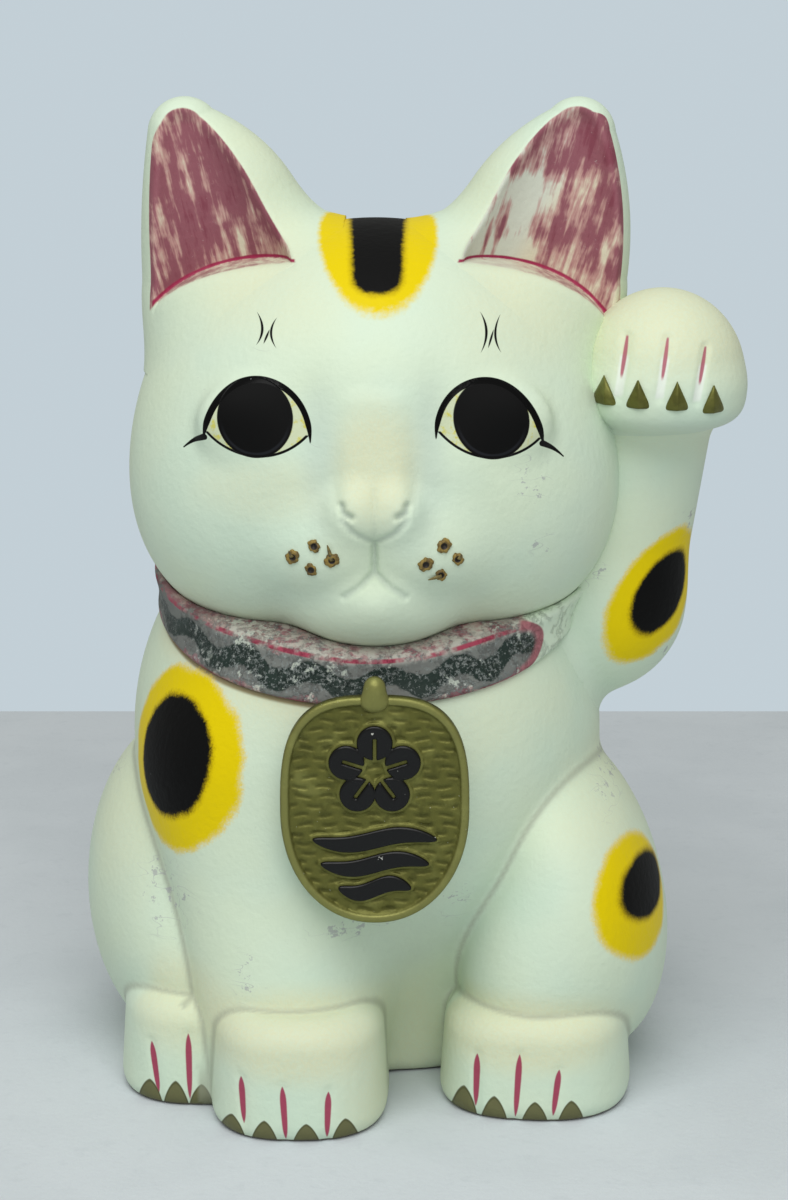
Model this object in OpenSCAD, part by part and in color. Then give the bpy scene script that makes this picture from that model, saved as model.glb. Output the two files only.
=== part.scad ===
// Beckoning cat: hollow earthenware figurine with a raised left arm.
// Millimetres. Z up, the cat faces -Y, the raised arm is on +X.
// The origin is the middle of the flat base.

/* [Body] */
// Wall of the hollow body and head
wall = 5; // [3:0.5:8]
// Half sizes of the torso
torso_half = [78, 80, 85];
// Middle of the torso, which leans towards the standing leg
torso_mid = [-3, 4, 110];
// Half sizes of the belly at the floor
belly_half = [66, 54, 78];
// Middle of the belly
belly_mid = [0, 18, 20];
// Half sizes and middle of the haunch on the raised arm side
haunch_left_half = [32.5, 60, 58];
haunch_left_mid = [64, -8, 56];
// Inward lean of that haunch
haunch_lean = 14; // [0:1:20]
// Half sizes and middle of the other haunch
haunch_right_half = [36.5, 58, 60];
haunch_right_mid = [-62, 14, 51];
// Height of the neck rim at the throat
rim_z = 136; // [120:1:145]
// Rise of the neck rim towards the back, per millimetre
rim_rise = 0.265; // [0:0.005:0.4]

/* [Feet] */
// Half sizes of the front foot
fore_foot_half = [28, 35, 23.5];
// Middle of the front foot
fore_foot_mid = [-24.5, -60, 14];
// Half sizes of the hind feet
hind_foot_left_half = [30.5, 34, 21.5];
hind_foot_right_half = [27.5, 34, 22.5];
// Middle of the hind foot on the raised arm side
hind_foot_left_mid = [52.5, -44, 12];
// Middle of the other hind foot
hind_foot_right_mid = [-56, -30, 13];
// Rounding of the upper edge of the feet
foot_round = 9; // [4:1:15]
// Squareness of the feet seen from above (2 is an ellipse)
foot_power = 2.5; // [2:0.1:4]

/* [Head] */
// Half sizes of the skull
skull_half = [76.5, 70, 65];
// Middle of the skull
skull_mid = [0, -6, 216];
// Half sizes of a cheek
cheek_half = [39.5, 46, 38];
// Middle of the left cheek
cheek_mid = [35, -16, 189];
// Lower end of each ear
ear_right_low = [44, 4, 258];
ear_left_low = [49, 2, 258];
// Upper end of each ear
ear_right_high = [61.5, 2, 307.5];
ear_left_high = [65.5, 1, 307.5];
// Radius of the ear at both ends
ear_radii = [32.5, 12];
// Extra radius half way up the ear
ear_swell = 3.6; // [0:0.2:8]
// Width of the coin slot
slot_w = 36; // [30:1:45]
// Height of the coin slot
slot_h = 6; // [4:0.5:8]

/* [Raised arm] */
// Shoulder, elbow and wrist
arm_shoulder = [45, 8, 140];
arm_elbow = [71, 6, 154];
arm_wrist = [85, -2, 222];
// Radius at the elbow and at the wrist
arm_radii = [30, 25.5];
// Height of the joint between arm and paw
wrist_z = 214; // [205:1:225]
// Middle and half sizes of the paw
paw_mid = [92.5, -17, 231];
paw_half = [26.5, 29, 28];
// Height where the palm starts
palm_z = 216; // [212:1:226]
// Half sizes of one claw
claw_half = [3.6, 2.2, 4.4];

/* [Collar and koban] */
// Width of the collar band
collar_w = 15; // [10:0.5:22]
// How far the collar stands out from the neck
collar_out = 2; // [1:0.5:5]
// Radius of the hole through the collar ring
collar_bore = 54; // [45:1:58]
// Width and height of the koban tablet
koban_w = 59; // [45:1:70]
koban_h = 74; // [55:1:85]
// Thickness of the koban tablet
koban_t = 4.5; // [3:0.5:8]
// Width of the raised rim of the koban
koban_rim = 2.2; // [1:0.2:4]
// Roundness of the upper and lower half of the koban (2 is an ellipse)
koban_power = [3, 2.1];
// Middle of the back of the koban
koban_mid = [0, -79.6, 105.5];
// Backward lean of the koban
koban_lean = 2; // [-5:1:8]
// Half width and height of the clay behind the koban, and its middle's height over the koban's
back_half = [24, 29];
back_up = -5; // [-8:0.5:0]
// Height of the raised ornament
ornament_t = 1.2; // [0.6:0.2:3]
// Height of the blossom over the koban's middle
blossom_up = 13; // [8:0.5:16]
// Radius of a petal and its distance from the blossom's middle
petal_r = 5.6; // [3:0.2:7]
petal_out = 9.2; // [5:0.2:11]
// Half length of each of the three waves, from the top
wave_half = [19.5, 17, 11.5];
// Height of the first wave, and the distance to the next ones
wave_up = -9.3; // [-14:0.1:0]
wave_pitch = 8; // [5:0.1:10]
// Half the thickness of a wave in its middle
wave_thick = 3.0; // [1:0.1:3.5]
// Radius of the bead over the koban
bead_r = 3.3; // [2:0.1:5]

/* [Base and stopper] */
// Thickness of the base slab
slab_t = 6; // [4:0.5:10]
// Diameter of the stopper hole
hole_d = 40; // [30:1:50]
// Middle of the stopper hole behind the origin
hole_y = 30; // [25:1:35]
// Diameter of the stopper flange
flange_d = 46; // [42:1:55]
// Thickness of the stopper flange
flange_t = 2; // [1.5:0.5:4]
// Length of the stopper
stopper_h = 13; // [10:1:18]

/* [Hidden] */
$fn = 64;
gap = 0.25;
seam = 0.1;
slip = 0.05;
slab_gap = 0.8;
lift_off = 0.6;
cast_far = 140;
torso_join = 30;
leg_join = 16;
haunch_join = 4;
shin_join = 14;
foot_join = 3;
luting = 1.2;
axis_y = -10;
head_axis = [0, -4, 214];
neck_angle = -58;
leg_top = [-38, -32, 102];
leg_low = [-25, -56, 8];
leg_radii = [34, 29];
shin_left_mid = [52.5, -38, 38];
shin_right_mid = [-57, -24, 38];
shin_half = [25, 33, 34];

// ---- distance functions: negative inside, positive outside ----
function clamp01(t) = min(max(t, 0), 1);
function fold(p) = [abs(p.x), p.y, p.z];
function over(p, s) = [p.x / s.x, p.y / s.y, p.z / s.z];

function ball(p, mid, half) =
    let (q = over(p - mid, half), k = norm(q))
    k * (k - 1) / max(norm(over(q, half)), 0.000001);

function cone(p, a, b, radii) =
    let (ab = b - a, t = clamp01((p - a) * ab / (ab * ab)))
    norm(p - a - t * ab) - radii[0] - (radii[1] - radii[0]) * t;

// A tapering limb that bows sideways and swells in its middle.
function horn(p, a, b, radii, bow, swell) =
    let (ab = b - a, long = norm(ab), slope = (radii[0] - radii[1]) / long,
         x = (p - a) * ab / long, y = norm(p - a - ab * x / long),
         t = clamp01((x - y * slope / sqrt(1 - slope * slope)) / long), hump = 4 * t * (1 - t))
    norm(p - a - t * ab - hump * bow) - radii[0] - (radii[1] - radii[0]) * t - hump * swell;

// An upright pillar, a superellipse seen from above, with a rounded upper edge.
function pillar(p, mid, half, n, r) =
    let (q = p - mid, out = norm([q.x, q.y]),
         e = max(pow(pow(abs(q.x) / half.x, n) + pow(abs(q.y) / half.y, n), 1 / n), 0.000001),
         side = out - (1 - 0.05 * q.z / half.z) * out / e + r, top = abs(q.z) - half.z + r)
    norm([max(side, 0), max(top, 0)]) + min(max(side, top), 0) - r;

function lean(p, mid, a) =
    let (q = p - mid)
    mid + [q.x * cos(a) + q.z * sin(a), q.y, q.z * cos(a) - q.x * sin(a)];

function join(a, b, k) =
    let (h = max(k - abs(a - b), 0) / k)
    min(a, b) - h * h * k / 4;

function carve(a, b, k) = -join(-a, -b, k);

function torso(p) = join(ball(p, torso_mid, torso_half), ball(p, belly_mid, belly_half), torso_join);

function feet(p) = min(
    pillar(p, fore_foot_mid, fore_foot_half, foot_power, foot_round),
    pillar(p, hind_foot_left_mid, hind_foot_left_half, foot_power, foot_round),
    pillar(p, hind_foot_right_mid, hind_foot_right_half, foot_power, foot_round));

function haunches(p) = min(
    join(ball(lean(p, haunch_left_mid, haunch_lean), haunch_left_mid, haunch_left_half),
         ball(p, shin_left_mid, shin_half), shin_join),
    join(ball(p, haunch_right_mid, haunch_right_half),
         ball(p, shin_right_mid, shin_half), shin_join));

function body(p) =
    let (trunk = join(torso(p), cone(p, leg_top, leg_low, leg_radii), leg_join))
    join(join(trunk, haunches(p), haunch_join), feet(p), foot_join);

function skull(p) = join(ball(p, skull_mid, skull_half), ball(fold(p), cheek_mid, cheek_half), 26);

function head(p) =
    let (q = fold(p),
         nose = join(pillar(p, [0, -60.5, 209], [12.8, 18, 20], 3, 8),
                     ball(p, [0, -70, 201], [14, 11, 9]), 8),
         lips = ball(q, [12, -60.5, 184], [19, 17, 14]),
         chin = join(ball(p, [0, -63, 170], [12, 14, 8.5]), ball(p, [0, -50, 165], [26, 23, 14.5]), 7),
         lids = ball(q, [36.5, -59.5, 224], [18, 8, 13]))
    join(join(join(join(skull(p), nose, 5), lips, 14), chin, 10), lids, 6);

// The dish of the ear stays above the arch of the brow.
function brow_arch(p) = 57 - 57 * pow(pow(abs(p.x) / 82, 3) + pow(max(p.z - 214, 0) / 57, 3), 1 / 3);

function ear_cone(p, low, high) = horn(p, low, high, ear_radii, [-1.5, 0, 0], ear_swell);

function ear(p, low, high) =
    let (solid = ear_cone(p, low, high),
         dish = max(horn(p, low + [5.5, -38, -2], high + [1, -17, 2.5], [28, 7], [0, -6, 0], 5.5),
                    brow_arch(p)))
    carve(carve(solid, -dish, 3), luting / 2 - skull(p), 4);

function rim_lift(p) = (p.z - rim_z - rim_rise * (p.y + 72)) / norm([1, rim_rise]);

function collar_band(p) =
    let (neck = join(torso(p), head(p), 14) - collar_out,
         lift = rim_lift(p),
         bore = collar_bore - norm([p.x, p.y + 8]))
    max(carve(neck, max(gap - lift, lift - collar_w), 3), gap - head(p), bore);

function arm_whole(p) = join(cone(p, arm_elbow, arm_wrist, arm_radii),
    cone(p, arm_shoulder, arm_elbow, [arm_radii[0], arm_radii[0]]), 10);

function arm(p) = carve(max(arm_whole(p), p.z - wrist_z),
    max(luting - body(p), luting - head(p), 2 * luting - collar_band(p)), 4);

function paw(p) =
    let (toes = carve(ball(p, paw_mid, paw_half), palm_z - p.z, 8))
    carve(max(join(toes, arm_whole(p), 6), wrist_z + gap - p.z),
        max(luting - head(p), 2 * luting - ear_cone(p, ear_left_low, ear_left_high)), 4);

function tail_blob(p) =
    let (root = ball(p, [12, 80, 19], [27, 15, 15]), tip = ball(p, [-12, 83, 28], [14, 11, 15]))
    max(join(root, tip, 12), gap - body(p));

// ---- casting: walk inwards from far away until the surface is met ----
function reach(f, from, way, t, left = 40) =
    let (s = f(from + way * t))
    (left == 0 || s < 0.01 || t < 0.5) ? t : reach(f, from, way, t - s * 0.93, left - 1);

function flat(rows) = [for (row = rows) for (v = row) v];
function spread(a, b, n) = [for (i = [0:n]) a + (b - a) * i / n];

function ring_axis(z, tilt, y) = [0, y, z + tilt * (y + 72)];
function ring_way(a, tilt) = [cos(a), sin(a), tilt * sin(a)];
function globe_way(lon, lat) = [cos(lon) * cos(lat), sin(lon) * cos(lat), sin(lat)];

// Triangles of one grid cell, with the side walls where the neighbour is open.
function cell_faces(r, c, cols, n, low, high, first, last) =
    let (a = r * cols + c, b = a + 1, d = a + cols, e = d + 1)
    concat(
        [[a, d, e], [a, e, b], [a + n, e + n, d + n], [a + n, b + n, e + n]],
        low ? [[a, b, b + n], [a, b + n, a + n]] : [],
        high ? [[e, d, d + n], [e, d + n, e + n]] : [],
        first ? [[d, a, a + n], [d, a + n, d + n]] : [],
        last ? [[b, e, e + n], [b, e + n, b + n]] : []);

function is_open(r, c, rows, cols, slot) =
    r < 0 || c < 0 || r > rows - 2 || c > cols - 2
    || (r == slot[0] && c >= slot[1] && c < slot[2]);

// A patch of shell between an outer and an inner grid of points.
module shell(outer, inner, pole = false, slot = [-1, 0, 0]) {
    rows = len(outer);
    cols = len(outer[0]);
    faces = [for (r = [0:rows - 2], c = [0:cols - 2])
        if (!is_open(r, c, rows, cols, slot))
            cell_faces(r, c, cols, rows * cols,
                is_open(r - 1, c, rows, cols, slot),
                is_open(r + 1, c, rows, cols, slot) && !(pole && r == rows - 2),
                is_open(r, c - 1, rows, cols, slot),
                is_open(r, c + 1, rows, cols, slot))];
    polyhedron(points = concat(flat(outer), flat(inner)), faces = flat(faces));
}

// A solid cast from one inside point, round both poles.
module cast_solid(f, mid, lons = 24, lats = 16) {
    rows = [for (lat = spread(-90, 90, lats)) [for (i = [0:lons - 1])
        let (way = globe_way(360 * i / lons, lat)) mid + way * reach(f, mid, way, cast_far)]];
    points = concat([rows[0][0]], flat([for (r = [1:lats - 1]) rows[r]]), [rows[lats][0]]);
    top = len(points) - 1;
    last = 1 + (lats - 2) * lons;
    caps = [for (i = [0:lons - 1]) let (j = (i + 1) % lons)
        each [[0, 1 + i, 1 + j], [top, last + j, last + i]]];
    sides = [for (r = [0:lats - 3], i = [0:lons - 1])
        let (j = (i + 1) % lons, a = 1 + r * lons + i, b = 1 + r * lons + j)
        each [[a, a + lons, b + lons], [a, b + lons, b]]];
    polyhedron(points = points, faces = concat(caps, sides));
}

// ---- hollow body ----
foot_top = 46;
front_levels = concat(spread(0, foot_top, 13),
    [for (z = spread(foot_top, rim_z, 15)) if (z > foot_top) z]);
back_levels = spread(0, rim_z, 18);
function level_tilt(z) = rim_rise * pow(z / rim_z, 2);

module body_half(y, angles, levels) {
    outer = [for (z = levels) [for (a = angles)
        let (t = level_tilt(z), from = ring_axis(z, t, y), way = ring_way(a, t))
        from + way * reach(function (p) body(p), from, way, cast_far)]];
    inner = [for (z = levels) [for (a = angles)
        let (t = level_tilt(z), from = ring_axis(z, t, y), way = ring_way(a, t))
        from + way * reach(function (p) body(p) + wall, from, way, cast_far)]];
    shell(outer, inner);
}

module body_front() {
    color("Honeydew") body_half(axis_y - seam, spread(180, 360, 44), front_levels);
}

module body_back() {
    color("Honeydew") body_half(axis_y + seam, spread(0, 180, 24), back_levels);
}

module base_slab() {
    angles = concat(spread(180, 360, 44), [for (a = spread(0, 180, 24)) if (a % 180 > 0) a]);
    outline = [for (a = angles)
        let (from = [0, axis_y, 0], way = ring_way(a, 0),
             hit = from + way * reach(function (p) body(p) + wall + slab_gap, from, way, cast_far))
        [hit.x, hit.y]];
    color("Gray") difference() {
        linear_extrude(slab_t) polygon(outline);
        translate([0, hole_y, -1]) cylinder(d = hole_d, h = slab_t + 2);
        translate([0, hole_y, -1]) cylinder(d = flange_d + 2, h = flange_t + lift_off + 1.4);
    }
}

module stopper() {
    color("DimGray") translate([0, hole_y, 0]) {
        translate([0, 0, lift_off]) cylinder(d = flange_d, h = flange_t);
        translate([0, 0, lift_off]) cylinder(d = hole_d - 2 * slip, h = stopper_h);
    }
}

module tail() {
    color("Honeydew") cast_solid(function (p) tail_blob(p), [3, 87, 21], 28, 18);
}

// ---- hollow head ----
slot_lat = asin(slot_h / 2 / skull_half.y);
slot_lon = asin(slot_w / 2 / skull_half.y);
back_lats = concat(spread(neck_angle, -slot_lat, 9), spread(slot_lat, 90, 15));
back_lons = concat(spread(0, 90 - slot_lon, 9), spread(90 - slot_lon + slot_lon / 3, 90 + slot_lon, 5),
                   [for (a = spread(90 + slot_lon, 180, 9)) if (a > 90 + slot_lon) a]);

module head_half(y, lons, lats, slot) {
    from = [0, y, head_axis.z];
    outer = [for (lat = lats) [for (lon = lons)
        let (way = globe_way(lon, lat))
        from + way * reach(function (p) head(p), from, way, cast_far)]];
    inner = [for (lat = lats) [for (lon = lons)
        let (way = globe_way(lon, lat))
        from + way * reach(function (p) head(p) + wall, from, way, cast_far)]];
    shell(outer, inner, true, slot);
}

module head_front() {
    color("Ivory") head_half(head_axis.y - seam, spread(180, 360, 38),
        spread(neck_angle, 90, 31), [-1, 0, 0]);
}

module head_back() {
    color("Ivory") head_half(head_axis.y + seam, back_lons, back_lats, [9, 9, 15]);
}

module ear_solid(low, high) {
    cast_solid(function (p) ear(p, low, high), (low + high) / 2 + [0, 6, 0], 40, 26);
}

module ear_left() {
    color("RosyBrown") ear_solid(ear_left_low, ear_left_high);
}

module ear_right() {
    color("RosyBrown") mirror([1, 0, 0]) ear_solid(ear_right_low, ear_right_high);
}

// ---- raised arm ----
module raised_arm() {
    color("Honeydew") cast_solid(function (p) arm(p), [83, 4, 176], 32, 26);
}

module raised_paw() {
    color("Cornsilk") cast_solid(function (p) paw(p), [95, -8, 230], 32, 22);
}

module paw_claws() {
    color("Olive") for (i = [0:3]) {
        x = paw_mid.x - 17.5 + 11.5 * i;
        from = [x, paw_mid.y, 226];
        y = from.y - reach(function (p) paw(p), from, [0, -1, 0], 60);
        translate([x, y - claw_half.y - 1.5 * luting, 226]) scale(claw_half) sphere(1);
    }
}

// ---- collar and koban ----
module collar() {
    turns = 60;
    round = 14;
    grid = [for (i = [0:turns - 1])
        let (a = 360 * i / turns, out = [cos(a), sin(a), 0],
             from = ring_axis(rim_z, rim_rise, axis_y), way = ring_way(a, rim_rise),
             rim = from + way * reach(function (p) body(p), from, way, cast_far),
             mid = rim - 2 * out + [0, 0, 3])
        [for (k = [0:round - 1])
            let (b = 360 * k / round, turn = out * cos(b) + [0, 0, sin(b)])
            mid + turn * reach(function (p) collar_band(p), mid, turn, 30)]];
    faces = [for (i = [0:turns - 1], k = [0:round - 1])
        let (i2 = (i + 1) % turns, k2 = (k + 1) % round,
             a = i * round + k, b = i2 * round + k, d = i * round + k2, e = i2 * round + k2)
        each [[a, d, e], [a, e, b]]];
    color("IndianRed") polyhedron(points = flat(grid), faces = faces);
}

function bend(v, n) = sign(v) * pow(abs(v), 2 / n);

module koban_outline(inset = 0) {
    polygon([for (a = [0:5:355]) let (n = a < 180 ? koban_power[0] : koban_power[1])
        [(koban_w / 2 - inset) * bend(cos(a), n), (koban_h / 2 - inset) * bend(sin(a), n)]]);
}

module on_koban(lift) {
    translate(koban_mid) rotate([90 + koban_lean, 0, 0]) translate([0, 0, lift]) children();
}

// Clay between the tablet and the chest, made out of rings of points on the chest
module koban_back() {
    turns = 36;
    rings = 5;
    spots = [[0, koban_mid.z + back_up], each [for (k = [1:rings], i = [0:turns - 1])
        [back_half.x * k / rings * cos(360 * i / turns),
         koban_mid.z + back_up + back_half.y * k / rings * sin(360 * i / turns)]]];
    chest = [for (s = spots)
        [s.x, -luting - reach(function (p) body(p), [s.x, 0, s.y], [0, -1, 0], cast_far), s.y]];
    first = len(chest);
    front = [for (i = [0:turns - 1]) let (s = spots[first - turns + i])
        [s.x, koban_mid.y - 1 - (s.y - koban_mid.z) * tan(koban_lean), s.y]];
    function at(k, i) = k > rings ? first + i % turns : 1 + (k - 1) * turns + i % turns;
    fan = [for (i = [0:turns - 1]) [0, at(1, i), at(1, i + 1)]];
    strips = [for (k = [1:rings], i = [0:turns - 1]) each
        [[at(k, i + 1), at(k, i), at(k + 1, i)], [at(k, i + 1), at(k + 1, i), at(k + 1, i + 1)]]];
    polyhedron(points = concat(chest, front),
               faces = [each fan, each strips, [for (i = [turns - 1:-1:0]) first + i]]);
}

module koban() {
    color("DarkGoldenrod") union() {
        on_koban(0) difference() {
            linear_extrude(koban_t) koban_outline();
            translate([0, 0, koban_t - 1]) linear_extrude(2) koban_outline(koban_rim);
        }
        koban_back();
    }
}

module koban_bead() {
    color("DarkGoldenrod") on_koban(koban_t / 2) translate([0, koban_h / 2 + bead_r + gap, 0])
        sphere(bead_r);
}

module ornament_blossom() {
    petals = 5;
    color("Black") on_koban(koban_t - 1 + 0.02) translate([0, blossom_up, 0])
        linear_extrude(ornament_t) difference() {
            for (i = [0:petals - 1])
                rotate(90 + 360 * i / petals) translate([petal_out, 0]) circle(r = petal_r);
            circle(r = petal_out * 0.22);
        }
}

module wave_outline(half) {
    steps = 16;
    t = [for (i = [0:steps]) 2 * i / steps - 1];
    crest = [for (v = t) 1.6 * sin(180 * v)];
    thick = [for (v = t) wave_thick * sqrt(1 - v * v)];
    polygon([each [for (i = [0:steps]) [half * t[i], crest[i] + thick[i]]],
             each [for (i = [steps - 1:-1:1]) [half * t[i], crest[i] - thick[i]]]]);
}

module ornament_wave() {
    color("Black") on_koban(koban_t - 1 + 0.02) linear_extrude(ornament_t)
        for (i = [0:len(wave_half) - 1])
            translate([0, wave_up - wave_pitch * i]) wave_outline(wave_half[i]);
}

// ---- whisker holes, filled with glue, with broken bristles ----
dab_spots = [[17, 184.5], [23.5, 188], [28, 182.5], [20, 178.5]];

module on_cheek(x, z, lift) {
    from = [x, -40, z];
    y = from.y - reach(function (p) head(p), from, [0, -1, 0], 60);
    e = 0.5;
    n = [head([x + e, y, z]) - head([x - e, y, z]), head([x, y + e, z]) - head([x, y - e, z]),
         head([x, y, z + e]) - head([x, y, z - e])];
    u = n / norm(n);
    translate([x, y, z] + u * lift) rotate([0, acos(u.z), atan2(u.y, u.x)]) children();
}

module whisker_dabs() {
    for (s = dab_spots) on_cheek(s[0], s[1], gap) cylinder(r1 = 2.5, r2 = 1.7, h = 1.2, $fn = 24);
}

module whisker_stubs() {
    for (s = [dab_spots[1], dab_spots[3]])
        on_cheek(s[0], s[1], gap + 1.25) cylinder(r = 0.4, h = 4, $fn = 24);
}

module whisker_dabs_left() {
    color("Tan") whisker_dabs();
}

module whisker_dabs_right() {
    color("Tan") mirror([1, 0, 0]) whisker_dabs();
}

module whisker_stubs_left() {
    color("Black") whisker_stubs();
}

module whisker_stubs_right() {
    color("Black") mirror([1, 0, 0]) whisker_stubs();
}

body_front();
body_back();
base_slab();
tail();
head_front();
head_back();
ear_right();
ear_left();
raised_arm();
raised_paw();
paw_claws();
collar();
koban();
koban_bead();
ornament_blossom();
ornament_wave();
whisker_dabs_right();
whisker_dabs_left();
whisker_stubs_right();
whisker_stubs_left();
stopper();
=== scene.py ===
"""A hollow earthenware beckoning cat, cold painted and worn, on a pale table.

The clay pieces are described as distance functions in millimetres, negative
inside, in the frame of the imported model. Each is turned into a mesh on a fine
grid and cut where the real pieces meet. All paint is procedural.
"""
import math

import bmesh
import bpy
import numpy as np
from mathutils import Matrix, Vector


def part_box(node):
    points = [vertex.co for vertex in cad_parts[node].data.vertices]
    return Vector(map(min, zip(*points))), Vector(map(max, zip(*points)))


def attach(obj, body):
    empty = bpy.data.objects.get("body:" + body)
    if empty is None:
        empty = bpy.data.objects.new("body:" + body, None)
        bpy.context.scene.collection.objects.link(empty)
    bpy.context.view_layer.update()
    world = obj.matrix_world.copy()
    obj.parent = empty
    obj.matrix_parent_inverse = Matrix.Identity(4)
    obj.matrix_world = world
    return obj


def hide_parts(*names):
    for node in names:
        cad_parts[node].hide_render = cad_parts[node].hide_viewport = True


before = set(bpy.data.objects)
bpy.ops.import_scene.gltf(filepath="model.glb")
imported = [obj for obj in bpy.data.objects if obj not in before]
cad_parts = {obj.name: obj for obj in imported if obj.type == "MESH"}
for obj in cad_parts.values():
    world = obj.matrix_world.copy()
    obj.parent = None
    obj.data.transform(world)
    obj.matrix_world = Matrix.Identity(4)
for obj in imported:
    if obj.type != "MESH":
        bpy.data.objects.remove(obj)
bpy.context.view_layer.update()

import openvdb
from mathutils import Vector

MM = 0.001


def box_mm(node):
    low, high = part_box(node)
    return low / MM, high / MM


def between(lower, upper, axis):
    """Where two neighbouring CAD pieces meet along an axis."""
    return (box_mm(lower)[1][axis] + box_mm(upper)[0][axis]) / 2


# ---------------------------------------------------------------- sizes, mm
WALL = 5.0
SPLIT_BODY_Y = between("body_front", "body_back", 1)
SPLIT_HEAD_Y = between("head_front", "head_back", 1)
WRIST_Z = between("raised_arm", "raised_paw", 2)
RIM_Z = 136.0           # collar's lower edge at the front
RIM_RISE = 0.265        # how it climbs towards the back
RIM_FRONT = -72.0
COLLAR_W = 15.0
COLLAR_OUT = 2.2
COLLAR_BORE = 42.0
SLOT_HALF = (18.0, 30.0, 3.0)
SLOT_MID = (0.0, 66.0, 214.0)
SLAB_T = box_mm("base_slab")[1].z
SLAB_GAP = 0.8
HOLE_R = 20.0           # of the stopper's hole in the base
RECESS = (24.0, 3.0)    # the stopper flange's recess: its radius and its depth
KOBAN_T = 4.5
KOBAN_LEAN = 2.0
koban_low, koban_high = box_mm("koban")
KOBAN_HALF = ((koban_high.x - koban_low.x) / 2, (koban_high.z - koban_low.z) / 2)
KOBAN_COS, KOBAN_SIN = math.cos(math.radians(KOBAN_LEAN)), math.sin(math.radians(KOBAN_LEAN))
KOBAN_MID = ((koban_low.x + koban_high.x) / 2,
             koban_low.y + KOBAN_T * KOBAN_COS + KOBAN_HALF[1] * KOBAN_SIN,
             (koban_low.z + koban_high.z) / 2)
SINK = 0.3              # a luted fillet dives this far under its neighbour
KEY = 1.3               # and the piece is keyed this deep into it
NECK_LAP = 4.0          # the head's open end lies this far over the collar's lower edge
SIDES = ((-1, "right"), (1, "left"))


# ---------------------------------------------------------------- distances
def length(*parts):
    return np.sqrt(sum(v * v for v in parts))


def ball(p, mid, half):
    q = [(p[i] - mid[i]) / half[i] for i in range(3)]
    k = length(*q)
    return k * (k - 1) / np.maximum(length(*(q[i] / half[i] for i in range(3))), 1e-6)


def limb(p, a, b, ra, rb):
    ab = [b[i] - a[i] for i in range(3)]
    pa = [p[i] - a[i] for i in range(3)]
    t = np.clip(sum(pa[i] * ab[i] for i in range(3)) / sum(v * v for v in ab), 0, 1)
    return length(*(pa[i] - t * ab[i] for i in range(3))) - ra - (rb - ra) * t


def horn(p, a, b, ra, rb, bow, swell):
    """A tapering limb that bows and swells in its middle."""
    ab = np.array(b, float) - np.array(a, float)
    long = np.sqrt((ab ** 2).sum())
    slope = (ra - rb) / long
    pa = [p[i] - a[i] for i in range(3)]
    x = sum(pa[i] * ab[i] for i in range(3)) / long
    y = length(*(pa[i] - ab[i] * x / long for i in range(3)))
    t = np.clip((x - y * slope / np.sqrt(1 - slope * slope)) / long, 0, 1)
    hump = 4 * t * (1 - t)
    gap = length(*(pa[i] - t * ab[i] - hump * bow[i] for i in range(3)))
    return gap - ra - (rb - ra) * t - swell * hump


def pillar(p, mid, half, power, edge, taper=0.0):
    """An upright superellipse pillar with a rounded upper edge."""
    x, y, z = (p[i] - mid[i] for i in range(3))
    s = 1 - taper * (z / half[2])
    q = ((np.abs(x) / half[0]) ** power + (np.abs(y) / half[1]) ** power) ** (1 / power)
    r = length(x, y)
    side = r - s * r / np.maximum(q, 1e-6) + edge
    top = np.abs(z) - half[2] + edge
    outside = length(np.maximum(side, 0), np.maximum(top, 0))
    return outside + np.minimum(np.maximum(side, top), 0) - edge


def block(p, mid, half):
    q = [np.abs(p[i] - mid[i]) - half[i] for i in range(3)]
    outside = length(*(np.maximum(v, 0) for v in q))
    return outside + np.minimum(np.maximum(np.maximum(q[0], q[1]), q[2]), 0)


def join(a, b, k):
    h = np.maximum(k - np.abs(a - b), 0) / k
    return np.minimum(a, b) - h * h * k / 4


def carve(a, b, k):
    """The part of a where b is also negative, with its edge rounded by k."""
    return -join(-a, -b, k)


def turned(p, mid, axis, degrees):
    c, s = math.cos(math.radians(degrees)), math.sin(math.radians(degrees))
    q = [p[i] - mid[i] for i in range(3)]
    i, j = [(1, 2), (2, 0), (0, 1)]["xyz".index(axis)]
    q[i], q[j] = q[i] * c + q[j] * s, q[j] * c - q[i] * s
    return [q[i] + mid[i] for i in range(3)]


def fold(p):
    return [np.abs(p[0]), p[1], p[2]]


def bump(d, width):
    """1 on the line where d is 0, fading to 0 at width."""
    return np.clip(1 - (d / width) ** 2, 0, 1) ** 2


def stroke(p, a, b):
    """Distance to the segment a-b seen from the front."""
    ab = (b[0] - a[0], b[1] - a[1])
    pa = (p[0] - a[0], p[2] - a[1])
    t = np.clip((pa[0] * ab[0] + pa[1] * ab[1]) / (ab[0] ** 2 + ab[1] ** 2), 0, 1)
    return length(pa[0] - t * ab[0], pa[1] - t * ab[1])


def spot(p, mid, size):
    """1 in the middle of an oval seen from the front, fading outwards."""
    fade = np.exp(-((p[0] - mid[0]) / size[0]) ** 2 - ((p[2] - mid[1]) / size[1]) ** 2)
    return fade * (p[1] < 0)


def luted(part, base, k):
    """part stuck on base: a fillet of size k that dives under the base's surface."""
    reach = k * (1 - math.sqrt(4 * SINK / k)) + 1
    return np.maximum(np.maximum(join(part, base + SINK, k), part - reach), -base - KEY)


# ---------------------------------------------------------------- body
def torso(p):
    return join(ball(p, (-3, 4, 110), (78, 80, 85)), ball(p, (0, 18, 20), (66, 54, 78)), 30)


def foot(p, mid, half, lean=0):
    return pillar(turned(p, mid, "z", lean), mid, half, 2.5, 9, 0.05)


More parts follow.
